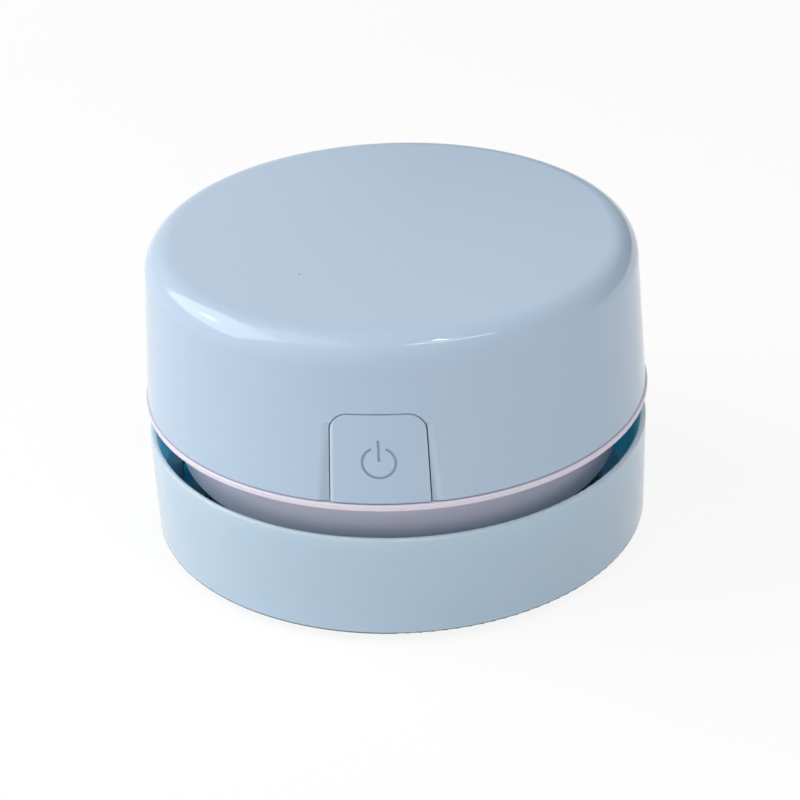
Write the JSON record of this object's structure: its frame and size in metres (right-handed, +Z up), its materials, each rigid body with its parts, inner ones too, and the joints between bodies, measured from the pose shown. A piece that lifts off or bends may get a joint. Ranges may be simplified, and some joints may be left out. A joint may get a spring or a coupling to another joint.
{
  "type": "desktop vacuum cleaner",
  "caption": "Small round desktop vacuum cleaner: a covered motor head with a push button over a dust cup, with an open air slot between them and a brushed suction mouth underneath.",
  "frame": {"origin": "on the desk, under the middle of the round body", "axes": "+Z up along the body's axis and the fan's shaft; the power button faces -Y"},
  "size_m": [0.0866, 0.0866, 0.0536],
  "materials": {
    "cover_blue": "pale blue moulded plastic, gloss",
    "cup_blue": "pale blue moulded plastic, gloss",
    "chassis_white": "off-white moulded plastic, faintly lilac, satin gloss",
    "filter_black": "black moulded plastic",
    "filter_cloth": "fine woven filter cloth",
    "seal_rubber": "soft black rubber",
    "foot_rubber": "dark grey rubber",
    "brush_base": "black moulded plastic",
    "bristle": "black nylon bristle",
    "shroud_black": "black moulded plastic",
    "screw_steel": "zinc plated steel",
    "clamp_plastic": "off-white moulded plastic",
    "can_steel": "drawn zinc plated steel",
    "magnet": "sintered ferrite",
    "end_cap_plastic": "white nylon",
    "bush_bronze": "oil filled sintered bronze",
    "contact_brass": "rolled brass",
    "contact_nickel": "nickel plated spring steel",
    "cell_sleeve": "plain dark green printed sleeve, bare of words",
    "switch_plastic": "black moulded plastic",
    "plunger_plastic": "white acetal",
    "lead_red": "red insulation",
    "lead_black": "black insulation",
    "shaft_steel": "ground steel",
    "core_steel": "stacked steel laminations",
    "winding_copper": "enamelled copper wire",
    "commutator_copper": "copper segments",
    "fan_white": "off-white moulded plastic"
  },
  "bodies": {
    "base": {"dust_cup": "cup_blue", "brush_ring": "brush_base", "bristle_tufts": "bristle", "rubber_feet": "foot_rubber"},
    "filter": {"filter_frame": "filter_black", "filter_mesh": "filter_cloth", "filter_seal": "seal_rubber"},
    "head": {"chassis": "chassis_white", "fan_shroud": "shroud_black", "shroud_screws": "screw_steel", "motor_clamp": "clamp_plastic", "clamp_screws": "screw_steel", "motor_can": "can_steel", "motor_magnets": "magnet", "motor_end_cap": "end_cap_plastic", "motor_bushes": "bush_bronze", "motor_brushes": "contact_brass", "battery_left": "cell_sleeve", "battery_right": "cell_sleeve", "contact_positive": "contact_nickel", "contact_negative": "contact_nickel", "contact_bridge": "contact_nickel", "switch_body": "switch_plastic", "switch_pins": "contact_brass", "lead_cell_to_switch": "lead_red", "lead_switch_to_motor": "lead_red", "lead_motor_to_cell": "lead_black"},
    "cover": {"top_cover": "cover_blue"},
    "button": {"power_button": "cover_blue", "switch_plunger": "plunger_plastic"},
    "rotor": {"motor_shaft": "shaft_steel", "armature_core": "core_steel", "armature_windings": "winding_copper", "commutator": "commutator_copper", "impeller": "fan_white"}
  },
  "joints": [
    {"name": "head_lift", "type": "slide", "parent": "base", "child": "filter", "axis": [0, 0, 1], "range_m": [0, 0.03]},
    {"name": "head_twist", "type": "hinge", "parent": "filter", "child": "head", "pos_m": [0, 0, 0.0153], "axis": [0, 0, 1], "range_deg": [0, 26]},
    {"name": "cover_lift", "type": "slide", "parent": "head", "child": "cover", "axis": [0, 0, 1], "range_m": [0, 0.03]},
    {"name": "button_press", "type": "slide", "parent": "head", "child": "button", "axis": [0, 1, 0], "range_m": [0, 0.0012], "stiffness_N_per_m": 400, "springref_m": -0.001},
    {"name": "rotor_spin", "type": "hinge", "parent": "head", "child": "rotor", "pos_m": [0, 0, 0.025], "axis": [0, 0, 1], "continuous": true}
  ]
}
